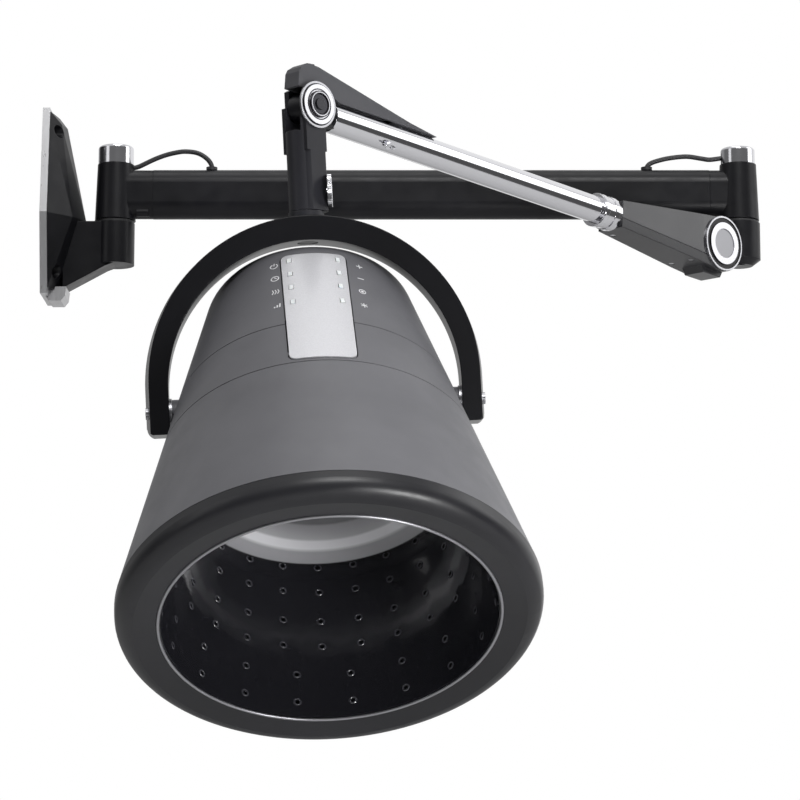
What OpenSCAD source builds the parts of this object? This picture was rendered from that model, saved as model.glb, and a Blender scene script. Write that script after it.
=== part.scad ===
// Wall-mounted hair steamer on a two-part jointed arm. Millimetres.
// The origin is the centre of the wall plate's back face, on the wall.
// X runs out from the wall along the first arm, Z is up, -Y is the front.

/* [Wall bracket] */
// Height of the wall plate
plate_h = 187; // [160:1:240]
// Width of the wall plate at its widest corner
plate_w = 100; // [90:1:150]
// Thickness of the wall plate
plate_t = 7; // [4:0.5:10]
// Height of the plate's side corners above its centre
plate_mid_z = -15; // [-30:1:0]
// Distance of the four wall screws from the plate's centre line
screw_y = 24; // [20:1:26]
// Height of the two upper wall screws
screw_top_z = 72; // [60:1:80]
// Height of the two lower wall screws
screw_low_z = -70; // [-78:1:-60]
// Radius of the wall screws' holes
wall_hole_r = 3.2; // [2.5:0.1:4]
// Distance of the first hinge axis from the wall
hub_x = 70; // [60:1:90]
// Radius of the bracket's knuckle
knuckle_r = 19.5; // [16:0.5:24]
// Height of the bracket's knuckle
knuckle_h = 42; // [30:1:50]
// Radius of the two upright spindles
spindle_r = 8; // [6:0.5:10]

/* [First arm] */
// Distance between the two upright hinge axes
arm1_len = 623; // [500:1:750]
// Height of the oval tube's section
tube1_h = 50; // [40:1:60]
// Width of the oval tube's section
tube1_w = 30; // [24:1:40]
// Wall of the oval tube
tube1_wall = 2.5; // [1.5:0.5:4]
// Height of the oval tube's centre line
tube1_z = 13; // [8:1:16]
// Radius of a hinge sleeve at its foot
sleeve_r = 20.3; // [17:0.1:24]
// Radius of a hinge sleeve at its top
sleeve_top_r = 18.2; // [16:0.1:22]
// Height of a sleeve's foot
sleeve_z = -14; // [-20:1:-8]
// Height of a sleeve's top
sleeve_top_z = 43; // [36:1:50]
// Radius of the hub caps
cap_r = 17.6; // [14:0.1:20]
// Height of the wall hub's cap
wall_cap_h = 19; // [10:1:25]
// Height of the elbow hub's cap
elbow_cap_h = 17; // [10:1:25]
// Thickness of the cable over each hinge
cable_d = 4.8; // [4:0.1:8]

/* [Second arm] */
// Direction the second arm folds back, from the first arm
fold_deg = 44.5; // [-10:0.5:120]
// Slope of the second arm
rise_deg = 4.5; // [-20:0.5:20]
// Distance between the second arm's two pivots
arm2_len = 541; // [450:1:650]
// Distance of the elbow pivot from the upright elbow axis
pivot_out = 50; // [45:0.5:60]
// Depth of the elbow pivot below the first arm's centre
pivot_drop = 47.3; // [42:0.1:55]
// Diameter of the chrome tube
tube2_d = 25.6; // [20:0.1:32]
// Wall of the chrome tube
tube2_wall = 1.6; // [1:0.1:3]
// Depth of the chrome tube's centre below the pivot line
tube2_drop = 1.8; // [0:0.1:3]
// Distance of the chrome collar from the elbow pivot
collar_x = 143; // [120:1:170]
// Length of the chrome collar
collar_l = 24; // [15:1:35]
// Radius of the elbow pivot's outer ring
elbow_ring_r = 27; // [22:0.5:30]
// Half the width of the elbow housing
housing_hw = 20; // [18:0.5:24]
// Distance of the strut's clamp screw from the pin at the arm's tip
screw_back = 91; // [75:1:120]
// Lean of the clamp screw from straight down to the front
screw_lean = 45; // [0:1:60]

/* [Hanger and yoke] */
// Lean of the hanger away from upright
hang_lean = 4.2; // [0:0.1:8]
// Height of the hanger from the upper pivot to the yoke
hanger_h = 92; // [80:1:110]
// Width of the hanger across its cheeks
hanger_w = 30; // [26:1:36]
// Radius of the hanger's rounded cheeks
cheek_r = 18; // [16:0.5:22]
// Reach of the hanger's cheeks past the pivot
cheek_x = 10; // [8:0.5:14]
// Radius of the hanger's body round the stem
hanger_r = 14.5; // [13:0.5:17]
// Distance of the yoke's stem outward of the upper pivot
stem_out = 5; // [0:0.5:10]
// Radius of the yoke's stem
stem_r = 9; // [7:0.5:11]
// Turn of the yoke about its stem
yoke_turn = 2.7; // [-90:0.1:90]
// Radius of the yoke's outside at the back
yoke_back_r = 145; // [140:1:155]
// Radius of the yoke's outside at the front
yoke_front_r = 141; // [135:1:150]
// Radius of the yoke's arch inside
yoke_in_r = 124.5; // [122:0.5:130]
// Depth of the yoke from front to back
yoke_d = 33; // [25:1:40]
// Height of the yoke's top above the head's pivots
yoke_rise = 167.5; // [165:0.5:180]

/* [Head] */
// Tilt of the head in the yoke
head_tilt = 34; // [-10:1:75]
// Radius of the head at its pivots
head_r = 116.5; // [105:0.5:120]
// Widening of the head's radius for each millimetre down
head_flare = 0.27; // [0.2:0.005:0.35]
// Height of the head's top above its pivots
head_top = 117; // [110:1:118]
// Wall of the head's shells
shell_t = 2.5; // [2:0.5:4]
// Height of the upper seam
seam1_z = -8; // [-20:1:0]
// Height of the lower seam
seam2_z = -64; // [-80:1:-50]
// Height of the rim's seam
seam3_z = -210; // [-220:1:-195]
// Height of the mouth's plane
mouth_z = -231; // [-245:1:-220]
// Inner radius of the mouth
mouth_r = 137.5; // [125:0.5:145]
// Height of the mouth's lip above the rim's lowest edge
lip_rise = 3.5; // [0:0.5:5]
// Radius of the hood's inside at its crease
crease_r = 117; // [105:0.5:125]
// Depth of the crease above the mouth
crease_h = 150; // [130:1:165]
// Rise of the domed ceiling above the crease
dome_h = 33; // [20:1:40]
// Radius of the steam holes
steam_r = 1.75; // [1:0.05:3]
// Height of the key panel's top
panel_top = 92; // [70:1:93]
// Height of the key panel's foot
panel_low = -60; // [-62:1:-40]
// Width of the key panel
panel_w = 55; // [45:1:65]
// Turn of the panel about the head's axis
panel_turn = 2; // [-6:0.5:6]

/* [Hidden] */
$fn = 64;
run = 0.05;
gap = 0.3;
gapw = 1;
deg_fold = 180 + fold_deg;
knuckle_z = sleeve_z - 3;
bush_t = 1.5;
bush_r = spindle_r + run + bush_t;
tube1_x0 = hub_x + 38;
tube1_x1 = hub_x + arm1_len - 29.5;
elbow_x = hub_x + arm1_len;
tube2_r = tube2_d / 2;
tube2_end = arm2_len - 27;
screw_x = arm2_len - screw_back;
tongue_hw = 8.5;
slot_hw = 9.5;
pin1_r = 7;
pin2_r = 5;
half_w = hanger_w / 2;
tilt_a = atan(head_flare);
crease_z = mouth_z + crease_h;
lip_z = mouth_z + lip_rise;
chassis_z = -42;
key_w = 3.5;
key_h = 6;
key_x = 20.5;
key_rows = [83, 63, 43, 21];

// The places of the moving pieces, each from the one before it.
module at_elbow() {
    translate([elbow_x, 0, 0]) rotate([0, 0, deg_fold]) children();
}
module at_arm2() {
    at_elbow() translate([pivot_out, 0, -pivot_drop]) rotate([0, -rise_deg, 0]) children();
}
module at_hanger() {
    at_arm2() translate([arm2_len, 0, 0]) rotate([0, rise_deg + hang_lean, 0]) children();
}
module at_yoke() {
    at_hanger() translate([stem_out, 0, -hanger_h]) rotate([0, 0, yoke_turn - deg_fold])
        children();
}
module at_pivot() {
    at_yoke() translate([0, 0, -yoke_rise]) children();
}
module at_head() {
    at_pivot() rotate([-head_tilt, 0, 0]) children();
}

// A rod along Y, centred, and one along X from the origin.
module rod_y(r, l) {
    rotate([90, 0, 0]) cylinder(h = l, r = r, center = true);
}
module rod_x(r, l) {
    rotate([0, 90, 0]) cylinder(h = l, r = r);
}
// A plate whose outline is drawn in X and Z, centred on Y.
module slab_y(w) {
    rotate([90, 0, 0]) linear_extrude(w, center = true) children();
}
// An upright oval with round top and bottom.
module oval(h, w) {
    for (s = [-1, 1]) translate([0, s * (h - w) / 2]) circle(r = w / 2);
    square([w, h - w], center = true);
}
module rounded(w, h, r) {
    square([w - 2 * r, h], center = true);
    square([w, h - 2 * r], center = true);
    for (x = [-1, 1], y = [-1, 1]) translate([x * (w / 2 - r), y * (h / 2 - r)]) circle(r = r);
}

// ---- Wall body ----
plate_screw_z = [60, -60];
wire_z = -38;
wire_r = 4.5;
// The plate's foot wraps forward under the casting.
foot_z = 9.5 - plate_h / 2;
foot_w = 36;
module plate_outline(half) {
    polygon([[-36, plate_h / 2], [36, plate_h / 2], [half, plate_mid_z], [34, -plate_h / 2],
        [-34, -plate_h / 2], [-half, plate_mid_z]]);
}
module wall_plate() {
    color([0.72, 0.72, 0.73]) difference() {
        rotate([90, 0, 90]) linear_extrude(plate_t) plate_outline(plate_w / 2);
        for (z = [screw_top_z, screw_low_z], y = [-screw_y, screw_y]) translate([-1, y, z])
            rod_x(wall_hole_r, plate_t + 2);
        for (z = plate_screw_z) translate([-1, 0, z]) rod_x(3.05, plate_t + 2);
        translate([-1, 0, wire_z]) rod_x(7, plate_t + 2);
    }
    color([0.72, 0.72, 0.73]) slab_y(foot_w) polygon([[2, foot_z - 7], [plate_t, foot_z - 14],
        [19, foot_z - 14], [23, foot_z - 9], [24, foot_z], [plate_t - 1, foot_z]]);
}
// One level of the faceted casting: a flat-backed five-sided slice.
module casting_slice(z, w, w2, a, b) {
    translate([0, 0, z]) linear_extrude(0.5)
        polygon([[plate_t, -w], [a, -w2], [b, 0], [a, w2], [plate_t, w]]);
}
module wall_bracket() {
    color([0.1, 0.1, 0.11]) difference() {
        union() {
            hull() {
                casting_slice(plate_h / 2 - 3, 31, 16, 10, 13);
                casting_slice(plate_h / 2 - 13.5, 34, 19, 17, 21);
                casting_slice(plate_mid_z, plate_w / 2 - 3, 25, 30, 41);
            }
            hull() {
                casting_slice(plate_mid_z, plate_w / 2 - 3, 25, 30, 41);
                casting_slice(6.5 - plate_h / 2, 31, 17, 13, 17);
            }
            translate([hub_x, 0, knuckle_z - knuckle_h]) cylinder(h = knuckle_h, r = knuckle_r);
            slab_y(30) polygon([[20, knuckle_z], [hub_x, knuckle_z],
                [hub_x, knuckle_z - knuckle_h], [hub_x - 8, knuckle_z - knuckle_h - 3],
                [20, knuckle_z - knuckle_h - 26]]);
        }
        translate([hub_x, 0, knuckle_z - knuckle_h + 6]) cylinder(h = knuckle_h, r = spindle_r + 0.01);
        for (z = plate_screw_z) translate([plate_t - 1, 0, z]) rod_x(2.6, 8);
        for (z = [screw_top_z, screw_low_z], y = [-screw_y, screw_y])
            translate([plate_t - 1, y, z]) rod_x(2 * wall_hole_r, 20);
        translate([plate_t - 1, 0, wire_z]) rod_x(wire_r, hub_x - plate_t);
        translate([0, -foot_w / 2 - gap, foot_z - 20]) cube([40, foot_w + 2 * gap, 20 + gap]);
    }
}
module plate_screws() {
    color([0.5, 0.5, 0.52]) for (z = plate_screw_z) {
        translate([1.5, 0, z]) rod_x(2.55, 12);
        translate([1.5, 0, z]) rod_x(3, 2);
    }
}
module spindle(z0, z1) {
    difference() {
        union() {
            translate([0, 0, z0]) cylinder(h = z1 - z0, r = spindle_r);
            translate([0, 0, z1 - 3]) cylinder(h = 3, r = spindle_r + 3.5);
        }
        translate([0, 0, z0 + 4]) cylinder(h = z1 - z0, r = wire_r);
        translate([0, 0, wire_z]) rod_x(wire_r - 1, 30);
    }
}
module wall_spindle() {
    color([0.6, 0.6, 0.62]) translate([hub_x, 0, 0])
        rotate([0, 0, 180]) spindle(knuckle_z - knuckle_h + 6.2, sleeve_top_z);
}
module thrust_ring() {
    difference() {
        cylinder(h = -gap - knuckle_z + sleeve_z - gap, r = sleeve_r - 1.4);
        translate([0, 0, -1]) cylinder(h = 9, r = spindle_r + 0.1);
    }
}
module wall_washer() {
    color([0.2, 0.2, 0.2]) translate([hub_x, 0, knuckle_z]) thrust_ring();
}

// ---- First arm ----
// A tapered hinge sleeve, bored for its bushes and hollow under its cap.
module sleeve() {
    translate([0, 0, sleeve_z])
        cylinder(h = sleeve_top_z - sleeve_z, r1 = sleeve_r, r2 = sleeve_top_r);
}
module sleeve_bore() {
    translate([0, 0, sleeve_z - 1]) cylinder(h = 80, r = bush_r);
    translate([0, 0, sleeve_top_z - 6]) cylinder(h = 20, r = 13);
}
module neck(x0, x1, plug) {
    translate([x0, 0, tube1_z]) rotate([90, 0, 90]) linear_extrude(x1 - x0)
        oval(tube1_h - 0.6, tube1_w);
    translate([plug[0], 0, tube1_z]) rotate([90, 0, 90]) linear_extrude(plug[1] - plug[0])
        oval(tube1_h - 2 * tube1_wall - 0.2, tube1_w - 2 * tube1_wall - 0.2);
}
module arm1_wall_hub() {
    color([0.1, 0.1, 0.11]) difference() {
        union() {
            translate([hub_x, 0, 0]) sleeve();
            neck(hub_x + 8, tube1_x0, [tube1_x0 - 1, tube1_x0 + 26]);
            translate([hub_x + 22, -9, sleeve_z + 7]) rod_x(4.5, 12);
        }
        translate([hub_x, 0, 0]) sleeve_bore();
        translate([hub_x + 22, 0, tube1_z]) rod_x(8, 60);
        translate([hub_x + 10, 0, wall_path[0][1]]) rod_x(cable_d / 2 + 0.3, 12);
    }
}
module arm1_tube() {
    color([0.1, 0.1, 0.11]) difference() {
        translate([tube1_x0, 0, tube1_z]) rotate([90, 0, 90])
            linear_extrude(tube1_x1 - tube1_x0) difference() {
                oval(tube1_h, tube1_w);
                oval(tube1_h - 2 * tube1_wall, tube1_w - 2 * tube1_wall);
            }
        for (x = grommet_x) translate([x, 0, tube1_z + 10]) cylinder(h = 20, r = 4.6);
    }
}
module arm1_elbow_hub() {
    color([0.1, 0.1, 0.11]) difference() {
        union() {
            translate([elbow_x, 0, 0]) sleeve();
            neck(tube1_x1, elbow_x - 8, [tube1_x1 - 26, tube1_x1 + 1]);
        }
        translate([elbow_x, 0, 0]) sleeve_bore();
        translate([elbow_x - 60, 0, tube1_z]) rod_x(8, 38);
    }
}
// Only the elbow's cap has a slot for its cable.
module cap_slot(h, r, slot) {
    if (slot) translate([-r - 8, -4.2, -1]) cube([17, 8.4, h - 4]);
}
module hub_cap(h, r, slot) {
    difference() {
        union() {
            cylinder(h = h - 3, r = r);
            translate([0, 0, h - 3]) rotate_extrude() {
                square([r - 3, 3]);
                translate([r - 3, 0]) intersection() {
                    circle(r = 3);
                    square(3);
                }
            }
        }
        translate([0, 0, -1]) cylinder(h = h - 1.5, r = r - 2.2);
        cap_slot(h, r, slot);
    }
    difference() {
        translate([0, 0, -5]) cylinder(h = 5.5, r = 12.9);
        translate([0, 0, -6]) cylinder(h = 9, r = 11.8);
    }
    difference() {
        translate([0, 0, -0.01]) cylinder(h = 1.5, r = r - 1);
        translate([0, 0, -1]) cylinder(h = 9, r = 11.8);
        cap_slot(h, r, slot);
    }
}
module wall_cap() {
    color([0.85, 0.85, 0.86]) translate([hub_x, 0, sleeve_top_z + 0.02])
        hub_cap(wall_cap_h, cap_r, false);
}
module elbow_cap() {
    color([0.85, 0.85, 0.86]) translate([elbow_x, 0, sleeve_top_z + 0.02])
        hub_cap(elbow_cap_h, cap_r - 0.6, true);
}
module hub_bushes() {
    color([0.75, 0.62, 0.35]) for (x = [hub_x, elbow_x], z = [sleeve_z, sleeve_top_z - 19])
        translate([x, 0, z]) difference() {
            cylinder(h = 12, r = bush_r);
            translate([0, 0, -1]) cylinder(h = 14, r = spindle_r + run);
        }
}
grommet_x = [hub_x + 96, elbow_x - 91.5];
module grommets() {
    color([0.05, 0.05, 0.05]) for (x = grommet_x) translate([x, 0, tube1_z + tube1_h / 2])
        difference() {
            union() {
                cylinder(h = 3, r = 5.6);
                translate([0, 0, -3.5]) cylinder(h = 4, r = 4.55);
            }
            translate([0, 0, -5]) cylinder(h = 12, r = cable_d / 2 + 0.6);
        }
}
// A cable swept along points in X and Z, from the hinge axis that it leads over, with its
// ends cut square.
wall_path = [[13, 40.6], [18, 40.6], [23, 41.9], [29, 44.8], [38, 49.2], [49, 53.5],
    [60, 56.3], [70, 57.4], [82, 55.6], [91.5, 49.5], [96, 42], [96, 33]];
elbow_path = [[-91.5, 33], [-91.5, 40], [-88, 44.8], [-79, 48.2], [-67, 50.8], [-51, 52.2],
    [-37, 50.2], [-29, 49], [-21, 49.8], [-14, 50.8]];
steps = 3;
sides = 10;
function spline(p, i, t) = let (
    n = len(p) - 1,
    a = p[max(i - 1, 0)], b = p[i], c = p[min(i + 1, n)], d = p[min(i + 2, n)])
    0.5 * (2 * b + (c - a) * t + (2 * a - 5 * b + 4 * c - d) * t * t
        + (3 * b - a - 3 * c + d) * t * t * t);
function path_of(p) = concat(
    [for (i = [0 : len(p) - 2], s = [0 : steps - 1]) spline(p, i, s / steps)],
    [p[len(p) - 1]]);
function heading(q, i) = let (v = q[min(i + 1, len(q) - 1)] - q[max(i - 1, 0)]) v / norm(v);
module cable(p) {
    q = path_of(p);
    n = len(q);
    points = [for (i = [0 : n - 1], k = [0 : sides - 1]) let (
        t = heading(q, i), u = cable_d / 2 * cos(360 * k / sides),
        w = cable_d / 2 * sin(360 * k / sides))
        [q[i][0] - t[1] * u, w, q[i][1] + t[0] * u]];
    skin = [for (i = [0 : n - 2], k = [0 : sides - 1]) let (j = (k + 1) % sides)
        [i * sides + k, i * sides + j, (i + 1) * sides + j, (i + 1) * sides + k]];
    polyhedron(points, concat(skin, [[for (k = [sides - 1 : -1 : 0]) k]],
        [[for (k = [0 : sides - 1]) (n - 1) * sides + k]]), convexity = 6);
}
module wall_cable() {
    color([0.05, 0.05, 0.05]) translate([hub_x, 0, 0]) cable(wall_path);
}
module elbow_cable() {
    color([0.05, 0.05, 0.05]) translate([elbow_x, 0, 0]) cable(elbow_path);
}

// ---- Elbow knuckle ----
elbow_bore = 34;
module elbow_knuckle() {
    color([0.1, 0.1, 0.11]) at_elbow() difference() {
        union() {
            translate([0, 0, knuckle_z - 37]) cylinder(h = 37, r = 21);
            translate([0, 0, knuckle_z - 43]) cylinder(h = 6.01, r1 = 13, r2 = 21);
            slab_y(2 * tongue_hw) polygon([[0, knuckle_z], [16, knuckle_z],
                [pivot_out + 10, 18 - pivot_drop], [pivot_out + 4, -19 - pivot_drop],
                [pivot_out - 12, -18 - pivot_drop], [0, knuckle_z - 43]]);
            translate([pivot_out, 0, -pivot_drop]) rod_y(19.5, 2 * tongue_hw);
        }
        translate([0, 0, knuckle_z - elbow_bore]) cylinder(h = 60, r = spindle_r + 0.01);
        translate([pivot_out, 0, -pivot_drop]) rod_y(pin1_r + run, 60);
    }
}
module elbow_spindle() {
    color([0.6, 0.6, 0.62]) at_elbow()
        spindle(knuckle_z - elbow_bore + 0.2, sleeve_top_z);
}
module elbow_washer() {
    color([0.2, 0.2, 0.2]) at_elbow() translate([0, 0, knuckle_z]) thrust_ring();
}

// ---- Second arm ----
// The seam's height round the elbow and at the collar.
seam_z = -17;
seam_end_z = -6;
module housing_outline() {
    circle(r = 27.5);
    polygon([[-2, 27.3], [12, 24.9], [collar_x, 10.5], [collar_x, -15.5], [10, -26.5],
        [-2, -27.3]]);
}
module housing_hollow() {
    polygon([[26, 20], [collar_x - 3, 8], [collar_x - 3, -13], [26, -22.5]]);
}
module housing_plan() {
    linear_extrude(100, center = true) polygon([[-30, -housing_hw], [30, -housing_hw],
        [collar_x, -15], [collar_x, 15], [30, housing_hw], [-30, housing_hw]]);
}
module housing_body() {
    difference() {
        intersection() {
            slab_y(60) housing_outline();
            housing_plan();
        }
        rod_y(pin1_r + 0.01, 80);
        slab_y(2 * slot_hw) union() {
            circle(r = 29.5);
            translate([-40, -40]) square([40, 80]);
        }
        intersection() {
            slab_y(2 * housing_hw - 5) housing_hollow();
            translate([-2, 0, 0]) linear_extrude(100, center = true)
                polygon([[0, 2.5 - housing_hw], [30, 2.5 - housing_hw], [collar_x, -12.5],
                    [collar_x, 12.5], [30, housing_hw - 2.5], [0, housing_hw - 2.5]]);
        }
        translate([collar_x - 4, 0, -tube2_drop]) rod_x(tube2_r, 20);
        for (p = screw_at) translate([p[0], p[1], p[2] - 20]) cylinder(h = 20, r = 2.7);
    }
}
// The housing's seam runs level round the pivot, then rises toward the collar.
module seam_cut(side) {
    slab_y(80) polygon([[-40, seam_z + side * 0.15], [8, seam_z + side * 0.15],
        [collar_x + 5, seam_end_z + side * 0.15], [collar_x + 5, side * 60],
        [-40, side * 60]]);
}
// Each screw's place, the face its head sits on, and the top of its post.
screw_at = [[38, -12.5, -22.3, 19.5], [38, 12.5, -22.3, 19.5], [128, -9.8, -14.9, 10.2]];
module housing_upper() {
    color([0.13, 0.13, 0.14]) at_arm2() {
        intersection() {
            housing_body();
            seam_cut(1);
        }
        for (p = screw_at) translate([p[0], p[1], p[2] + 9]) difference() {
            cylinder(h = p[3] - p[2] - 9, r = 3);
            translate([0, 0, -1]) cylinder(h = 9, r = 1.55);
        }
    }
}
module housing_lower() {
    color([0.09, 0.09, 0.1]) at_arm2() difference() {
        union() {
            intersection() {
                housing_body();
                seam_cut(-1);
            }
            for (p = screw_at) translate([p[0], p[1], p[2]]) cylinder(h = 8.8, r = 3);
            slab_y(24) polygon([[-10, -25.6], [23, -24.5], [18, -31.5], [-7, -31.5]]);
        }
        slab_y(2 * slot_hw) circle(r = 29.5);
        for (p = screw_at) translate([p[0], p[1], p[2] - 1]) cylinder(h = 12, r = 1.55);
    }
}
module housing_screws() {
    color([0.7, 0.7, 0.72]) at_arm2() for (p = screw_at) translate([p[0], p[1], p[2]]) {
        translate([0, 0, -1.8]) cylinder(h = 1.8, r = 2.6);
        cylinder(h = 15, r = 1.5);
    }
}
module arm2_collar() {
    color([0.85, 0.85, 0.86]) at_arm2() translate([collar_x + 0.2, 0, -tube2_drop]) difference() {
        union() {
            rod_x(15.5, collar_l);
            translate([4, 0, 0]) rod_x(16.3, 5);
            translate([collar_l - 6, 0, 0]) rod_x(16.3, 5);
        }
        translate([-1, 0, 0]) rod_x(tube2_r + 0.02, collar_l + 2);
    }
}
module arm2_tube() {
    color([0.85, 0.85, 0.86]) at_arm2() translate([collar_x - 3.8, 0, -tube2_drop]) difference() {
        rod_x(tube2_r, tube2_end - collar_x + 3.8);
        translate([-1, 0, 0]) rod_x(tube2_r - tube2_wall, tube2_end);
        translate([screw_x - collar_x + 3.8, 0, 0]) rotate([screw_lean, 0, 0])
            translate([0, 0, -20]) cylinder(h = 15, r = 2.05);
    }
}
// The tongue that fills the tube's end and turns between the hanger's cheeks.
module arm2_tongue() {
    color([0.1, 0.1, 0.11]) at_arm2() difference() {
        union() {
            translate([tube2_end - 22, 0, -tube2_drop]) rod_x(tube2_r - tube2_wall - 0.02, 23);
            slab_y(2 * tongue_hw) polygon([[tube2_end, 10], [arm2_len, 13], [arm2_len, -13],
                [tube2_end, -13.5]]);
            translate([arm2_len, 0, 0]) rod_y(13, 2 * tongue_hw);
        }
        translate([arm2_len, 0, 0]) rod_y(pin2_r + run, 60);
        translate([tube2_end - 30, link_y, -tube2_drop]) rod_x(3, 33);
    }
}
cover_z = tube2_r - tube2_drop + 0.1;
module hood_cover() {
    color([0.34, 0.34, 0.35]) at_arm2() translate([arm2_len, 0, 0]) {
        slab_y(18) difference() {
            union() {
                polygon([[-152, cover_z], [-118, 15.5], [-4, 36.5], [9, 36.5], [15.5, 31.5],
                    [17.5, 27], [17.5, 14], [-24, 14], [-32, cover_z]]);
                polygon([[1, 14], [-5, 30], [1, 37.5], [8, 36.5], [12, 14]]);
            }
            polygon([[-104, cover_z + 0.1], [-104, 15.2], [-4, 33.5], [7.5, 33.5], [12.5, 29],
                [14.5, 14], [12, 13], [-24, 13], [-32, cover_z - 1]]);
        }
        for (s = [-1, 1]) translate([0, s * 8, 0]) slab_y(1.9)
            polygon([[-108, cover_z], [-104, 15.4], [-4, 33.8], [8, 33.8], [12.8, 29],
                [14.8, 14], [-24, 14], [-32, cover_z]]);
    }
}
module ring_y(r, r_in, y0, y1) {
    translate([0, y1, 0]) rotate([90, 0, 0]) difference() {
        cylinder(h = y1 - y0, r = r);
        translate([0, 0, -1]) cylinder(h = y1 - y0 + 2, r = r_in);
    }
}
module elbow_rings() {
    color([0.85, 0.85, 0.86]) at_arm2() for (s = [-1, 1]) {
        y0 = s > 0 ? housing_hw + 0.05 : -housing_hw - 2.05;
        ring_y(elbow_ring_r, elbow_ring_r - 1.8, y0, y0 + 2);
        ring_y(21, 14.5, s > 0 ? y0 : y0 - 0.6, s > 0 ? y0 + 2.6 : y0 + 2);
    }
}
module elbow_discs() {
    color([0.2, 0.2, 0.2]) at_arm2() for (s = [-1, 1]) {
        y0 = s > 0 ? housing_hw + 0.05 : -housing_hw - 1.25;
        ring_y(elbow_ring_r - 2, 21.2, y0, y0 + 1.2);
    }
}
module elbow_pin() {
    color([0.6, 0.6, 0.62]) at_arm2() {
        rod_y(pin1_r, 2 * housing_hw + 3);
        for (s = [-1, 1]) translate([0, s * (housing_hw + 0.95), 0]) rod_y(14.3, 1.8);
    }
}
// The counterbalance strut and the link that holds the hanger level.
link_y = 7.2;
strut_y = -3.6;
strut_len = 190;
strut_at = screw_x - strut_len - 20;
strut_wall = 10;
clamp_w = 20;
module strut_body() {
    color([0.15, 0.15, 0.16]) at_arm2() translate([strut_at, 0, -tube2_drop]) difference() {
        union() {
            translate([0, strut_y, 0]) rod_x(7, strut_len);
            translate([strut_len - strut_wall, strut_y, 0]) rod_x(3, 35);
            translate([screw_x - strut_at - clamp_w / 2, 0, 0])
                rod_x(tube2_r - tube2_wall - 0.1, clamp_w);
        }
        translate([-1, strut_y, 0]) rod_x(2.55, strut_len - strut_wall);
        translate([screw_x - strut_at - clamp_w, link_y, 0]) rod_x(2.6, 2 * clamp_w);
        translate([screw_x - strut_at, 0, 0]) rotate([screw_lean, 0, 0])
            translate([0, 0, -20]) cylinder(h = 16.5, r = 2.05);
    }
}
rod_at = 50;
module strut_rod() {
    color([0.7, 0.7, 0.72]) at_arm2() translate([rod_at, strut_y, -tube2_drop]) {
        rod_x(2.5, strut_at + strut_len / 2 - 5 - rod_at);
        difference() {
            translate([-3, 0, 0]) rod_y(4.5, 5);
            translate([-3, 0, 0]) rod_y(2, 9);
        }
    }
}
module level_link() {
    color([0.5, 0.5, 0.52]) at_arm2() translate([32, link_y, -tube2_drop]) {
        rod_x(2, arm2_len - 67);
        rod_y(4, 3);
    }
}
module thumb_screw() {
    color([0.85, 0.85, 0.86]) at_arm2() translate([screw_x, 0, -tube2_drop])
        rotate([screw_lean, 0, 0]) translate([0, 0, -tube2_r]) {
        translate([0, 0, -3]) cylinder(h = 11, r = 2);
        translate([0, 0, -4]) cylinder(h = 3.4, r = 3.4);
        for (s = [-1, 1]) translate([s * 4.2, 0, -3.6]) rod_y(2.8, 2);
    }
}

// ---- Hanger ----
knob_z = 18 - hanger_h;
module hanger() {
    color([0.28, 0.28, 0.3]) at_hanger() difference() {
        union() {
            intersection() {
                rod_y(cheek_r, hanger_w);
                translate([-30, -30, -30]) cube([30 + cheek_x, 60, 60]);
            }
            intersection() {
                union() {
                    translate([stem_out - 3.3, 3.3, 0.3 - hanger_h])
                        cylinder(h = hanger_h - 36, r = hanger_r);
                    translate([stem_out, 0, 0.3 - hanger_h])
                        cylinder(h = hanger_h - 10, r = hanger_r);
                }
                translate([-40, -half_w, -hanger_h]) cube([80, hanger_w, hanger_h]);
            }
            translate([-9, -half_w, -40]) cube([23, hanger_w, 40]);
        }
        slab_y(2 * slot_hw) polygon([[-40, 40], [40, 40], [40, -22], [18, -22], [4, -28],
            [-12, -28], [-40, -20]]);
        rod_y(pin2_r + 0.01, 60);
        translate([stem_out, 0, -hanger_h]) cylinder(h = 58, r = stem_r + run);
        translate([stem_out, 0, knob_z]) rotate([0, 90, knob_turn]) cylinder(h = 30, r = 3.1);
    }
}
knob_turn = 135.5;
knob_out = hanger_r + 4.9;
module tip_pin() {
    color([0.6, 0.6, 0.62]) at_hanger() translate([0, 2.5, 0]) rod_y(pin2_r, hanger_w + 5.6);
}
module tip_rings() {
    color([0.85, 0.85, 0.86]) at_hanger() translate([0, half_w + 0.05, 0]) {
        ring_y(17.5, pin2_r + 0.02, 0, 3);
        ring_y(20.4, 15.5, 0, 1.6);
        ring_y(11.5, 9.5, 0, 5);
        ring_y(8.5, pin2_r + 0.02, 0, 4);
    }
}
module friction_knob() {
    color([0.85, 0.85, 0.86]) at_hanger() translate([stem_out, 0, knob_z])
        rotate([0, 90, knob_turn]) {
            translate([0, 0, stem_r + gap]) cylinder(h = knob_out - stem_r, r = 3);
            translate([0, 0, knob_out]) cylinder(h = 3, r = 15);
            translate([0, 0, knob_out + 3]) cylinder(h = 0.8, r1 = 15, r2 = 14.2);
        }
}

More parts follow.
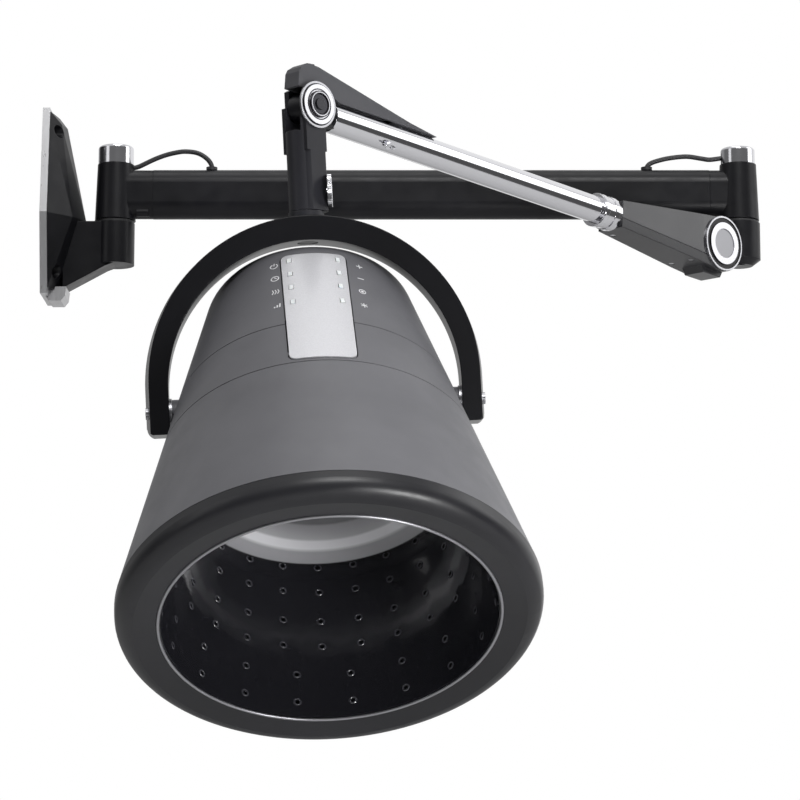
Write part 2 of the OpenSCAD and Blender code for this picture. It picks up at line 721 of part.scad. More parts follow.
// ---- Yoke ----
arch_z = 21.5;
inner_z = 16.8;
leg_low = -20;
module yoke_leg_plan() {
    polygon([[-yoke_back_r, yoke_d / 2], [yoke_back_r, yoke_d / 2], [yoke_front_r, -yoke_d / 2],
        [-yoke_front_r, -yoke_d / 2]]);
}
module yoke() {
    color([0.09, 0.09, 0.1]) at_pivot() difference() {
        union() {
            intersection() {
                translate([0, yoke_d / 2, arch_z]) rotate([90, 0, 0])
                    cylinder(h = yoke_d, r1 = yoke_back_r, r2 = yoke_front_r);
                translate([-200, -50, arch_z - 0.01]) cube([400, 100, 200]);
            }
            translate([0, 0, leg_low]) linear_extrude(arch_z - leg_low) yoke_leg_plan();
        }
        translate([0, 0, inner_z]) rod_y(yoke_in_r, 60);
        translate([-yoke_in_r, -50, leg_low - 20]) cube([2 * yoke_in_r, 100, inner_z - leg_low + 20]);
        for (s = [-1, 1]) translate([s * (yoke_front_r - 2), 0, leg_low + 8]) difference() {
            translate([s * 6 - 9, -30, -12]) cube([18, 60, 12]);
            translate([s * -3, 0, 0]) rod_y(8.5, 70);
        }
        translate([-160, 0, 0]) rod_x(5.05, 320);
        translate([-60, -30, yoke_rise - 0.5]) cube([120, 60, 10]);
        translate([0, 0, yoke_rise - 6]) cylinder(h = 20, r = 15.5);
        translate([0, 0, yoke_in_r]) cylinder(h = 60, r = stem_r + 0.01);
    }
}
module yoke_stem() {
    color([0.6, 0.6, 0.62]) at_yoke() {
        translate([0, 0, -26]) cylinder(h = 80, r = stem_r);
        translate([0, 0, -5.9]) cylinder(h = 5.8, r = 15.2);
    }
}
// The trunnion bosses' outer faces, and the pins and spacers between them and the yoke.
boss_out = head_r + 5.5;
pin_in = head_r - 8.5;
module trunnion_pins() {
    color([0.6, 0.6, 0.62]) at_pivot() for (s = [-1, 1]) {
        translate([s > 0 ? pin_in : -yoke_back_r, 0, 0]) rod_x(5, yoke_back_r - pin_in);
        translate([s > 0 ? boss_out + gap : -yoke_in_r, 0, 0])
            rod_x(12, yoke_in_r - boss_out - gap);
    }
}

// ---- Head ----
function cone_r(z) = head_r - head_flare * z;
// The head's outline from the axis out, moved in by a wall, above height z0.
round_r = 30;
round_z = head_top - round_r;
round_c = cone_r(round_z) - round_r / cos(tilt_a);
module head_outline(wall, z0) {
    r = round_r - wall;
    z1 = round_z + r * sin(tilt_a);
    polygon([[0, z0], [cone_r(z0) - wall / cos(tilt_a), z0], [round_c + r * cos(tilt_a), z1],
        [round_c, round_z], [round_c, head_top - wall], [0, head_top - wall]]);
    intersection() {
        translate([round_c, round_z]) circle(r = r);
        translate([0, round_z]) square([200, 200]);
    }
}
// A ring of the cone between two heights and two depths under its face.
module cone_ring(z0, z1, out, into) {
    k = 1 / cos(tilt_a);
    rotate_extrude() polygon([[cone_r(z0) - into * k, z0], [cone_r(z0) - out * k, z0],
        [cone_r(z1) - out * k, z1], [cone_r(z1) - into * k, z1]]);
}
module panel_shape(w, grow) {
    h = panel_top - panel_low;
    rotate([0, 0, panel_turn]) translate([0, -60, (panel_top + panel_low) / 2])
        rotate([90, 0, 0]) linear_extrude(120) rounded(w + 2 * grow, h + 2 * grow, 6 + grow);
}
module at_key(n) {
    side = n < 4 ? -1 : 1;
    z = key_rows[n % 4];
    turn = side * asin(key_x / cone_r(z));
    rotate([0, 0, panel_turn + turn]) translate([0, -cone_r(z), z]) rotate([-tilt_a, 0, 0])
        children();
}
module head_top_shell() {
    color([0.42, 0.42, 0.44]) at_head() difference() {
        union() {
            difference() {
                rotate_extrude() head_outline(0, seam1_z + 0.4);
                rotate_extrude() head_outline(shell_t, seam1_z - 5);
            }
            for (s = [-1, 1]) difference() {
                translate([s > 0 ? head_r - 12 : -boss_out, 0, 0]) rod_x(11, boss_out - head_r + 12);
                translate([-200, -50, -50]) cube([400, 100, 50 + seam1_z + 0.4]);
            }
        }
        translate([-160, 0, 0]) rod_x(5 + run, 320);
        panel_shape(panel_w, gapw);
        for (x = [-10, 10]) for (k = [-2 : 2]) translate([x, 40 + 9 * k, head_top - 9])
            cylinder(h = 20, r = 1.8);
    }
}
// The directions of the posts that stand between the inner hood and the chassis.
post_turn = [90, 210, 330];
module head_band() {
    color([0.42, 0.42, 0.44]) at_head() difference() {
        union() {
            cone_ring(seam2_z + 0.4, seam1_z - 0.4, 0, shell_t);
            cone_ring(seam2_z - 7, seam1_z - 3, shell_t + 0.15, shell_t + 2);
            cone_ring(chassis_z - 5, chassis_z - 0.05, shell_t + 1.5, shell_t + 7);
        }
        panel_shape(panel_w, gapw);
        for (a = post_turn) rotate([0, 0, a]) translate([crease_r + 4, 0, chassis_z - 8])
            cylinder(h = 12, r = 3);
    }
}
module head_skirt() {
    color([0.42, 0.42, 0.44]) at_head() {
        cone_ring(seam3_z + 0.4, seam2_z - 0.4, 0, shell_t);
        cone_ring(seam3_z + 2, seam3_z + 5, shell_t - 0.2, shell_t + 4.4);
        cone_ring(seam3_z - 4, seam3_z + 5, shell_t + 2.4, shell_t + 4.4);
    }
}
rim_r = 14.5;
rim_c = cone_r(seam3_z) + 0.2 - rim_r;
module rim_shape(wall) {
    r = rim_r - wall;
    translate([rim_c, mouth_z + rim_r]) {
        circle(r = r);
        square([r, 30]);
    }
}
lip_r = 1.3;
lip_out = mouth_r + 2 * lip_r + 0.2;
module head_rim() {
    color([0.2, 0.2, 0.21]) at_head() rotate_extrude() {
        difference() {
            rim_shape(0);
            rim_shape(3);
            translate([rim_c - 60, mouth_z - 1]) square([60, 60]);
            translate([rim_c - 1, seam3_z - 0.4]) square([60, 60]);
        }
        polygon([[lip_out, lip_z], [rim_c, mouth_z], [rim_c + 1, mouth_z + 0.1],
            [rim_c + 1, mouth_z + 2.9], [rim_c, mouth_z + 3], [mouth_r + 7, lip_z + 3],
            [mouth_r + 7, lip_z + 5], [lip_out, lip_z + 5]]);
    }
}
module lip_ring() {
    color([0.75, 0.75, 0.77]) at_head() rotate_extrude()
        translate([mouth_r + lip_r, lip_z]) circle(r = lip_r);
}
function inner_r(z) = mouth_r + (crease_r - mouth_r) * (z - mouth_z) / crease_h;
wall_z = lip_z + lip_r + 0.2;
dome_r = (crease_r * crease_r + dome_h * dome_h) / (2 * dome_h);
hole_depth = [18.5, 44, 71, 95, 123, 147];
hole_count = [18, 18, 24, 24, 24, 24];
module inner_hood() {
    color([0.05, 0.05, 0.06]) at_head() difference() {
        union() {
            rotate_extrude() {
                polygon([[inner_r(wall_z), wall_z], [inner_r(wall_z) + 2.4, wall_z],
                    [crease_r + 2, crease_z], [crease_r, crease_z]]);
                translate([mouth_r + 1, lip_z + 5.2]) square([9, 2]);
                translate([crease_r - 0.5, crease_z - 1]) square([8, 2]);
            }
            difference() {
                translate([0, 0, crease_z + dome_h - dome_r]) sphere(r = dome_r + 2);
                translate([0, 0, crease_z + dome_h - dome_r]) sphere(r = dome_r);
                translate([-400, -400, crease_z - 800]) cube([800, 800, 800]);
                difference() {
                    translate([-400, -400, crease_z - 1]) cube([800, 800, 20]);
                    translate([0, 0, crease_z - 2]) cylinder(h = 30, r = crease_r + 0.5);
                }
            }
        }
        for (row = [0 : 5]) for (k = [0 : hole_count[row] - 1])
            rotate([0, 0, panel_turn + k * 360 / hole_count[row]])
                translate([crease_r - 17, 0, mouth_z + hole_depth[row]]) rod_x(steam_r, 50);
        for (x = [-14, 14]) translate([x, -62, crease_z]) cylinder(h = 60, r = 4);
        translate([boiler_at[0], boiler_at[1], crease_z]) cylinder(h = 60, r = 8);
    }
}
module panel_plate() {
    color([0.8, 0.8, 0.81]) at_head() difference() {
        intersection() {
            cone_ring(panel_low - 2, panel_top + 2, -1, 1.5);
            panel_shape(panel_w, 0);
        }
        for (n = [0 : 7]) at_key(n) translate([-key_w / 2 - 0.4, -10, -key_h / 2 - 0.4])
            cube([key_w + 0.8, 20, key_h + 0.8]);
    }
}
module panel_tray() {
    color([0.1, 0.1, 0.1]) at_head() difference() {
        union() {
            intersection() {
                cone_ring(panel_low - 2, panel_top + 2, 1.55, 7);
                panel_shape(panel_w, -0.6);
            }
            intersection() {
                cone_ring(0, panel_top + 4, shell_t + 0.05, shell_t + 1.6);
                panel_shape(panel_w, 4);
            }
        }
        intersection() {
            cone_ring(panel_low - 2, panel_top + 2, 0, 5);
            panel_shape(panel_w, -2);
        }
    }
}
module key(n) {
    color([0.9, 0.9, 0.9]) at_head() at_key(n) {
        translate([-key_w / 2, -1.5, -key_h / 2]) cube([key_w, 4, key_h]);
        translate([-key_w / 2 - 1, 2, -key_h / 2 - 1]) cube([key_w + 2, 1.2, key_h + 2]);
    }
}
// The places of the boiler, the water tank and the fan across the chassis.
boiler_at = [-52, 22];
tank_at = [50, 25];
fan_at = [0, -46];
boiler_r = 30;
boiler_h = 84;
tank_r = 34;
tank_h = 96;
vessel_wall = 2;
module chassis() {
    color([0.6, 0.6, 0.62]) at_head() difference() {
        union() {
            translate([0, 0, chassis_z]) cylinder(h = 3, r = cone_r(chassis_z) - 6);
            for (a = post_turn) rotate([0, 0, a]) translate([crease_r + 4, 0, crease_z + 1.2])
                cylinder(h = chassis_z - crease_z, r = 2);
        }
        rotate([0, 0, panel_turn]) translate([-panel_w / 2 - gapw, -head_r - 23.5, chassis_z - 1])
            cube([panel_w + 2 * gapw, 25, 6]);
        translate([fan_at[0], fan_at[1], chassis_z - 1]) cylinder(h = 6, r = 22);
        translate([boiler_at[0], boiler_at[1], chassis_z - 1]) cylinder(h = 6, r = 6.2);
    }
}
module boiler() {
    color([0.7, 0.7, 0.72]) at_head() translate([boiler_at[0], boiler_at[1], chassis_z + 3.05]) {
        difference() {
            cylinder(h = boiler_h, r = boiler_r);
            translate([0, 0, vessel_wall])
                cylinder(h = boiler_h - 2 * vessel_wall, r = boiler_r - vessel_wall);
            translate([0, 0, -1]) cylinder(h = 9, r = 4);
        }
        difference() {
            translate([0, 0, -22]) cylinder(h = 23, r = 6);
            translate([0, 0, -23]) cylinder(h = 29, r = 4);
        }
    }
}
module heater() {
    color([0.5, 0.5, 0.52]) at_head() translate([boiler_at[0], boiler_at[1], chassis_z + 20]) {
        for (z = [0, 12]) translate([0, 0, z]) rotate_extrude() translate([17, 0]) circle(r = 4);
        translate([17, 0, 0]) cylinder(h = 12, r = 3);
        translate([-17, 0, 0]) cylinder(h = 65.05, r = 3);
    }
}
module water_tank() {
    color([0.75, 0.8, 0.85]) at_head() translate([tank_at[0], tank_at[1], chassis_z + 3.05])
        difference() {
        cylinder(h = tank_h, r = tank_r);
        translate([0, 0, vessel_wall]) cylinder(h = tank_h - 2 * vessel_wall, r = tank_r - vessel_wall);
        translate([0, 0, tank_h - 6]) cylinder(h = 9, r = 8);
    }
}
module fan_motor() {
    color([0.3, 0.3, 0.32]) at_head() translate([fan_at[0], fan_at[1], chassis_z]) {
        difference() {
            union() {
                translate([0, 0, 34]) cylinder(h = 30, r = 17);
                for (a = [30, 150, 270]) rotate([0, 0, a]) {
                    translate([10, -3, 34]) cube([29, 6, 3]);
                    translate([37, 0, 3.05]) cylinder(h = 33, r = 2.5);
                }
            }
            translate([0, 0, 33]) cylinder(h = 26, r = 2 + run);
        }
    }
}
module fan_impeller() {
    color([0.2, 0.2, 0.2]) at_head() translate([fan_at[0], fan_at[1], chassis_z]) {
        translate([0, 0, 10]) cylinder(h = 48, r = 2);
        translate([0, 0, 10]) cylinder(h = 18, r = 6);
        translate([0, 0, 24]) cylinder(h = 2, r = 31);
        for (a = [0 : 30 : 330]) rotate([0, 0, a]) translate([16, -0.7, 7]) cube([14, 1.4, 18]);
    }
}

// ---- Keys and the drawn pieces ----
module key_1() {
    key(0);
}
module key_2() {
    key(1);
}
module key_3() {
    key(2);
}
module key_4() {
    key(3);
}
module key_5() {
    key(4);
}
module key_6() {
    key(5);
}
module key_7() {
    key(6);
}
module key_8() {
    key(7);
}
wall_plate();
wall_bracket();
plate_screws();
wall_spindle();
wall_washer();
arm1_wall_hub();
arm1_tube();
arm1_elbow_hub();
wall_cap();
elbow_cap();
hub_bushes();
grommets();
wall_cable();
elbow_cable();
elbow_knuckle();
elbow_spindle();
elbow_washer();
housing_upper();
housing_lower();
housing_screws();
arm2_collar();
arm2_tube();
arm2_tongue();
hood_cover();
elbow_rings();
elbow_discs();
elbow_pin();
strut_body();
strut_rod();
level_link();
thumb_screw();
hanger();
tip_pin();
tip_rings();
friction_knob();
yoke();
yoke_stem();
trunnion_pins();
head_top_shell();
head_band();
head_skirt();
head_rim();
lip_ring();
inner_hood();
panel_plate();
panel_tray();
key_1();
key_2();
key_3();
key_4();
key_5();
key_6();
key_7();
key_8();
chassis();
boiler();
heater();
water_tank();
fan_motor();
fan_impeller();
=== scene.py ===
import math
import bmesh
import bpy
from mathutils import Matrix, Vector


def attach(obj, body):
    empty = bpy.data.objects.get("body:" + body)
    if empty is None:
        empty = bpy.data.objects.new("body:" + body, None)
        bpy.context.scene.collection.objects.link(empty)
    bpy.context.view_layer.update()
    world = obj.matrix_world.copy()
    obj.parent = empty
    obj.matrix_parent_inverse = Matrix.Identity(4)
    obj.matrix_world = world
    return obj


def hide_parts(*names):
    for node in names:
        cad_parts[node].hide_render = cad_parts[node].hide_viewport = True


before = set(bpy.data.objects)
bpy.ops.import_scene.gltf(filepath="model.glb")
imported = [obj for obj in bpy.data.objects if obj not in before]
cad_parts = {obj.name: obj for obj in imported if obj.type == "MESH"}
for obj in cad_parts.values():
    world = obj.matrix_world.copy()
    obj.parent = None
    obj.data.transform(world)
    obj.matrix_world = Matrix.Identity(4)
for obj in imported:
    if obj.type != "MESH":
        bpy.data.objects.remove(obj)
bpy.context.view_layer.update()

MM = 0.001

# Sizes that the solids have too, in millimetres and degrees. The head's heights count from
# the tilt axis, along its own axis.
HUB_X, ARM1_LENGTH, ARM2_LENGTH = 70, 623, 541
ELBOW_TURN, ELBOW_OUT, ELBOW_DROP, ARM2_SLOPE = 224.5, 50, 47.3, -4.5
HANGER_SLOPE, YOKE_OUT, YOKE_DROP, YOKE_TURN = 8.7, 5, 92, -221.8
YOKE_RISE, HEAD_TILT = 167.5, -34
HEAD_RADIUS, HEAD_FLARE = 116.5, 0.27
MOUTH_Z, MOUTH_RADIUS, CREASE_RADIUS, INNER_HEIGHT = -231, 137.5, 117, 150
PANEL_TURN = 2
CABLE_DIAMETER = 4.8
KNOB_OUT, KNOB_Z, KNOB_TURN = 19.4, -74, 135.5


# ---- Colours and nodes ----

def linear(hex_colour):
    """An sRGB hex colour as linear values, with an alpha of 1."""
    values = []
    for i in (0, 2, 4):
        c = int(hex_colour[i:i + 2], 16) / 255
        values.append(c / 12.92 if c <= 0.04045 else ((c + 0.055) / 1.055) ** 2.4)
    return (*values, 1)


def add(tree, kind, links=None, values=None, **settings):
    """One shader node: its own settings, its even sockets' values, and its wired sockets' links."""
    node = tree.nodes.new("ShaderNode" + kind)
    for name, value in settings.items():
        setattr(node, name, value)
    for socket, value in (values or {}).items():
        node.inputs[socket].default_value = value
    for socket, source in (links or {}).items():
        tree.links.new(source, node.inputs[socket])
    return node


def combine(tree, operation, first, second):
    """One number from two."""
    return add(tree, "Math", {0: first, 1: second}, operation=operation).outputs[0]


def fill_ramp(ramp, stops):
    """Gives a colour ramp its stops, pairs of position and linear colour."""
    elements = ramp.color_ramp.elements
    while len(elements) < len(stops):
        elements.new(0.5)
    for element, (position, colour) in zip(elements, stops):
        element.position, element.color = position, colour
    return ramp.outputs["Color"]


def shader(name, colour, roughness, metallic=0.0, **more):
    """A material with a Principled shader whose even values sit on its own sockets."""
    mat = bpy.data.materials.new(name)
    mat.use_nodes = True
    surface = mat.node_tree.nodes["Principled BSDF"]
    surface.inputs["Base Color"].default_value = linear(colour)
    surface.inputs["Roughness"].default_value = roughness
    surface.inputs["Metallic"].default_value = metallic
    for key, value in more.items():
        surface.inputs[key.replace("_", " ")].default_value = value
    return mat


def opened(mat):
    """A material's node tree and the inputs of its Principled shader."""
    return mat.node_tree, mat.node_tree.nodes["Principled BSDF"].inputs


def stretched(tree, scale):
    """Object coordinates in metres, multiplied along each axis."""
    place = add(tree, "TexCoord")
    return add(tree, "Mapping", {"Vector": place.outputs["Object"]}, {"Scale": scale}).outputs["Vector"]


def mottle(mat, colour_a, colour_b, scale):
    """Slow colour change over the surface, such as handling leaves on a moulding."""
    tree, inputs = opened(mat)
    noise = add(tree, "TexNoise", {"Vector": stretched(tree, (1, 1, 1))},
                {"Scale": scale, "Detail": 4.0, "Roughness": 0.6})
    ramp = add(tree, "ValToRGB", {"Fac": noise.outputs["Fac"]})
    colour = fill_ramp(ramp, ((0.35, linear(colour_a)), (0.65, linear(colour_b))))
    tree.links.new(colour, inputs["Base Color"])


def rough_range(mat, low, high, scale, stretch=(1, 1, 1)):
    """A roughness that wanders between two values."""
    tree, inputs = opened(mat)
    noise = add(tree, "TexNoise", {"Vector": stretched(tree, stretch)}, {"Scale": scale, "Detail": 5.0})
    spread = add(tree, "MapRange", {"Value": noise.outputs["Fac"]},
                 {"From Min": 0.3, "From Max": 0.7, "To Min": low, "To Max": high})
    tree.links.new(spread.outputs["Result"], inputs["Roughness"])


def grain(mat, size_mm, height_mm, strength, edge_mm=0.0, stretch=(1, 1, 1)):
    """A bump whose grains are size_mm across, over edges rounded by edge_mm."""
    tree, inputs = opened(mat)
    noise = add(tree, "TexNoise", {"Vector": stretched(tree, stretch)},
                {"Scale": 1000.0 / size_mm, "Detail": 3.0})
    bump = add(tree, "Bump", {"Height": noise.outputs["Fac"]},
               {"Strength": strength, "Distance": height_mm * MM})
    if edge_mm:
        soft = add(tree, "Bevel", values={"Radius": edge_mm * MM}, samples=4)
        tree.links.new(soft.outputs["Normal"], bump.inputs["Normal"])
    tree.links.new(bump.outputs["Normal"], inputs["Normal"])


def rings_about(tree, centre, axis, tones):
    """Colours in rings about an axis: tones are pairs of radius in millimetres and colour."""
    reach = tones[-1][0]
    place = add(tree, "TexCoord")
    inward = add(tree, "VectorMath", {0: place.outputs["Object"]}, {1: centre}, operation="SUBTRACT")
    across = add(tree, "VectorMath", {0: inward.outputs[0]}, {1: axis}, operation="CROSS_PRODUCT")
    radius = add(tree, "VectorMath", {0: across.outputs[0]}, operation="LENGTH")
    share = add(tree, "Math", {0: radius.outputs["Value"]}, {1: reach * MM}, operation="DIVIDE")
    ramp = add(tree, "ValToRGB", {"Fac": share.outputs[0]})
    return fill_ramp(ramp, [(at / reach, linear(tone)) for at, tone in tones])


# ---- Finishes ----

# Black powder coat on cast and extruded aluminium: satin, with a fine orange peel.
powder_black = shader("black_powder_coat", "111114", 0.34, Specular_IOR_Level=0.25)
mottle(powder_black, "0e0e11", "16161a", scale=9)
rough_range(powder_black, 0.3, 0.42, scale=60)
grain(powder_black, size_mm=1.2, height_mm=0.05, strength=0.12, edge_mm=1.0)

# The yoke's black coat is smoother, and shows the lamps as long soft streaks.
coat_yoke = shader("black_powder_coat_yoke", "0e0e11", 0.3, Specular_IOR_Level=0.3)
mottle(coat_yoke, "0c0c0f", "121216", scale=7)
grain(coat_yoke, size_mm=1.2, height_mm=0.04, strength=0.1, edge_mm=1.4)

# Grey powder coat on the cast hanger and the yoke's stem: satin, slightly coarse.
coat_grey = shader("grey_powder_coat", "222226", 0.42, Specular_IOR_Level=0.3)
mottle(coat_grey, "1f1f23", "27272c", scale=12)
grain(coat_grey, size_mm=0.9, height_mm=0.06, strength=0.15, edge_mm=0.8)

# Satin moulded ABS of the hood's shells: fine spark-eroded texture, a soft sheen.
abs_grey = shader("moulded_abs_grey", "66666a", 0.42, Specular_IOR_Level=0.25)
mottle(abs_grey, "616165", "6c6c70", scale=6)
rough_range(abs_grey, 0.38, 0.48, scale=40)
grain(abs_grey, size_mm=0.7, height_mm=0.04, strength=0.18, edge_mm=0.5)

# The rim is the same ABS, moulded in near-black with a smoother face.
abs_rim = shader("moulded_abs_rim", "1a1a1d", 0.32, Specular_IOR_Level=0.4)
mottle(abs_rim, "19191c", "202024", scale=5)
rough_range(abs_rim, 0.3, 0.4, scale=30)
grain(abs_rim, size_mm=0.7, height_mm=0.03, strength=0.12)

# Inside of the hood: glossy heat-proof moulding, whose colours are given further down, with a painted
# reflection over its ceiling.
hood_gloss_painted_reflection = shader("glossy_hood_painted_reflection", "232327", 0.12, Coat_Weight=0.5, Coat_Roughness=0.05)
rough_range(hood_gloss_painted_reflection, 0.08, 0.17, scale=18)
grain(hood_gloss_painted_reflection, size_mm=60, height_mm=0.5, strength=0.06)

# Raised rims of the steam holes: the same moulding, painted lighter as a highlight round each hole.
hole_rim = shader("steam_hole_rim_painted_highlight", "404045", 0.2, Coat_Weight=0.4, Coat_Roughness=0.08)
grain(hole_rim, size_mm=0.8, height_mm=0.02, strength=0.1)

# Satin steel of the thin ring round the mouth.
lip_steel = shader("satin_lip_ring", "9a9a9e", 0.3, 0.8)
grain(lip_steel, size_mm=30, height_mm=0.03, strength=0.05)

# Matte ABS cover over the arm's tip: blank moulded texture, no shine.
abs_matte = shader("matte_abs_cover", "46464a", 0.62)
mottle(abs_matte, "424246", "4c4c50", scale=14)
grain(abs_matte, size_mm=0.6, height_mm=0.06, strength=0.25, edge_mm=1.0)

# Gloss ABS of the elbow housing, and the satin cover under it.
abs_gloss = shader("gloss_abs_housing", "232327", 0.2, Coat_Weight=0.3, Coat_Roughness=0.1)
rough_range(abs_gloss, 0.17, 0.26, scale=25)
grain(abs_gloss, size_mm=30, height_mm=0.15, strength=0.08, edge_mm=1.4)
abs_cover = shader("satin_abs_cover", "1f1f22", 0.34)
mottle(abs_cover, "1b1b1e", "262629", scale=10)
grain(abs_cover, size_mm=0.8, height_mm=0.04, strength=0.15, edge_mm=1.4)

# Polished chrome plate: a mirror with a faint unevenness.
chrome = shader("polished_chrome", "e2e2e6", 0.07, 1.0)
rough_range(chrome, 0.05, 0.1, scale=30)
grain(chrome, size_mm=40, height_mm=0.05, strength=0.05, edge_mm=0.4)

# Vacuum-metallised plastic caps: bright, a little softer than plated steel.
metallised = shader("metallised_plastic", "dcdce0", 0.12, 1.0)
rough_range(metallised, 0.1, 0.17, scale=20)
grain(metallised, size_mm=50, height_mm=0.08, strength=0.06, edge_mm=0.8)

# Brushed stainless plate: fine lines running up and down, silver grey.
brushed = shader("brushed_stainless", "c4c4c6", 0.38, 0.55)
rough_range(brushed, 0.27, 0.42, scale=1.0, stretch=(700, 700, 12))
grain(brushed, size_mm=1000, height_mm=0.04, strength=0.3, edge_mm=0.5, stretch=(900, 900, 10))

# Turned and ground steel of pins, spindles and screws.
steel = shader("ground_steel", "a8a8ac", 0.3, 1.0)
rough_range(steel, 0.24, 0.36, scale=200)
grain(steel, size_mm=0.8, height_mm=0.02, strength=0.1)

# Turned rings of the two pivots: satin chrome, with painted shade in the grooves laid on by radius
# further down.
elbow_ring = shader("turned_ring_elbow_painted_shade", "c8c8cc", 0.24, 0.9)
grain(elbow_ring, size_mm=0.8, height_mm=0.02, strength=0.08, edge_mm=0.3)
tip_ring = shader("turned_ring_tip_painted_shade", "c8c8cc", 0.24, 0.9)
grain(tip_ring, size_mm=0.8, height_mm=0.02, strength=0.08, edge_mm=0.3)

# Anodised aluminium of the elbow pin's end caps: pale satin silver.
anodised = shader("anodised_cap", "a4a4a8", 0.42, 0.6)
grain(anodised, size_mm=0.8, height_mm=0.02, strength=0.1, edge_mm=0.4)

# Blackened steel of the tip's pin.
blackened = shader("blackened_steel", "38383c", 0.42, 0.5)
grain(blackened, size_mm=0.8, height_mm=0.02, strength=0.12, edge_mm=0.4)

# Sintered bronze bushes, and acetal washers.
bronze = shader("sintered_bronze", "b08a4a", 0.45, 1.0)
mottle(bronze, "a37e42", "bb9654", scale=120)
acetal = shader("black_acetal", "2a2a2c", 0.5)
grain(acetal, size_mm=0.8, height_mm=0.03, strength=0.15)

# PVC cable jacket and rubber grommets: soft black, slightly dusty.
pvc = shader("pvc_jacket", "1c1c1f", 0.48)
mottle(pvc, "18181b", "26262a", scale=70)
grain(pvc, size_mm=0.5, height_mm=0.04, strength=0.25)

# Silver lacquer over the panel's moulding: tiny flakes give it its sheen.
lacquer = shader("silver_lacquer", "bebec2", 0.38, 0.25, Coat_Weight=0.3, Coat_Roughness=0.15)
mottle(lacquer, "bababe", "c4c4c8", scale=900)
grain(lacquer, size_mm=0.5, height_mm=0.02, strength=0.1, edge_mm=0.5)

# Frosted polycarbonate of the keys and the white pad-printed ink of the signs.
frosted = shader("frosted_polycarbonate", "efefef", 0.42, Subsurface_Weight=0.1)
grain(frosted, size_mm=0.4, height_mm=0.02, strength=0.15, edge_mm=0.3)
ink = shader("pad_printed_ink", "e6e6e8", 0.5)
grain(ink, size_mm=0.4, height_mm=0.01, strength=0.1)

# Deep-drawn aluminium of the boiler, milky moulding of the tank, plain black inner mouldings.
drawn_alu = shader("drawn_aluminium", "c4c4c6", 0.32, 1.0)
rough_range(drawn_alu, 0.26, 0.4, scale=50)
milky = shader("milky_polypropylene", "c8d0d6", 0.35)
mottle(milky, "c2cad0", "ced6dc", scale=20)
inner_black = shader("plain_black_moulding", "1a1a1c", 0.5)
grain(inner_black, size_mm=0.8, height_mm=0.03, strength=0.2)

FINISHES = {
    powder_black: "wall_bracket arm1_wall_hub arm1_tube arm1_elbow_hub elbow_knuckle arm2_tongue"
                  " strut_body",
    coat_yoke: "yoke", coat_grey: "hanger yoke_stem",
    abs_grey: "head_top_shell head_band head_skirt", abs_rim: "head_rim",
    hood_gloss_painted_reflection: "inner_hood", abs_matte: "hood_cover",
    abs_gloss: "housing_upper", abs_cover: "housing_lower",
    chrome: "arm2_collar arm2_tube friction_knob thumb_screw", lip_steel: "lip_ring",
    elbow_ring: "elbow_rings", tip_ring: "tip_rings",
    metallised: "wall_cap elbow_cap", brushed: "wall_plate",
    steel: "plate_screws wall_spindle elbow_spindle housing_screws strut_rod level_link"
           " trunnion_pins chassis heater",
    anodised: "elbow_pin", blackened: "tip_pin",
    bronze: "hub_bushes", acetal: "wall_washer elbow_washer",
    pvc: "grommets wall_cable elbow_cable", lacquer: "panel_plate",
    frosted: "key_1 key_2 key_3 key_4 key_5 key_6 key_7 key_8",
    drawn_alu: "boiler", milky: "water_tank",
    inner_black: "elbow_discs panel_tray fan_motor fan_impeller",
}
for finish, nodes in FINISHES.items():
    for node in nodes.split():
        for material_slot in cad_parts[node].material_slots:
            material_slot.material = finish


# ---- The places of the moving pieces at rest, as the solids have them ----

def turned(axis, degrees):
    return Matrix.Rotation(math.radians(degrees), 4, axis)


def moved(x, y, z):
    return Matrix.Translation((x * MM, y * MM, z * MM))


elbow = moved(HUB_X + ARM1_LENGTH, 0, 0) @ turned("Z", ELBOW_TURN)
arm2 = elbow @ moved(ELBOW_OUT, 0, -ELBOW_DROP) @ turned("Y", ARM2_SLOPE)
hanger = arm2 @ moved(ARM2_LENGTH, 0, 0) @ turned("Y", HANGER_SLOPE)
yoke = hanger @ moved(YOKE_OUT, 0, -YOKE_DROP) @ turned("Z", YOKE_TURN)
head = yoke @ moved(0, 0, -YOKE_RISE) @ turned("X", HEAD_TILT)
pin_axis = arm2.col[1].xyz
hood_axis = head.col[2].xyz

# ---- Colours that follow a piece's shape, painted shade and painted reflection among them, as radius in millimetres and colour ----

# Turned rings round the two pins: bright lands in the metal's own colour, and painted shade as dark
# rings over the grooves and faces between them.
ELBOW_RING_TONES_AND_PAINTED_SHADE = ((0, "c8c8cc"), (20.5, "d0d0d4"), (21, "2a2a2e"), (25.2, "2a2a2e"), (25.6, "b8b8bc"),
               (30, "b8b8bc"))
TIP_RING_TONES_AND_PAINTED_SHADE = ((0, "3a3a3e"), (9.6, "3a3a3e"), (9.9, "b8b8bc"), (10.5, "b8b8bc"), (10.8, "2a2a2e"),
             (11.6, "2a2a2e"), (11.9, "c8c8cc"), (12.5, "c8c8cc"), (12.8, "333337"), (13.6, "333337"),
             (13.9, "cfcfd3"), (17.2, "cfcfd3"), (17.6, "28282c"), (18.4, "28282c"), (18.8, "b0b0b4"),
             (24, "9a9a9e"))
for finish, centre, tones in ((elbow_ring, arm2.translation, ELBOW_RING_TONES_AND_PAINTED_SHADE),
                              (tip_ring, hanger.translation, TIP_RING_TONES_AND_PAINTED_SHADE)):
    tree, inputs = opened(finish)
    tree.links.new(rings_about(tree, centre, pin_axis, tones), inputs["Base Color"])
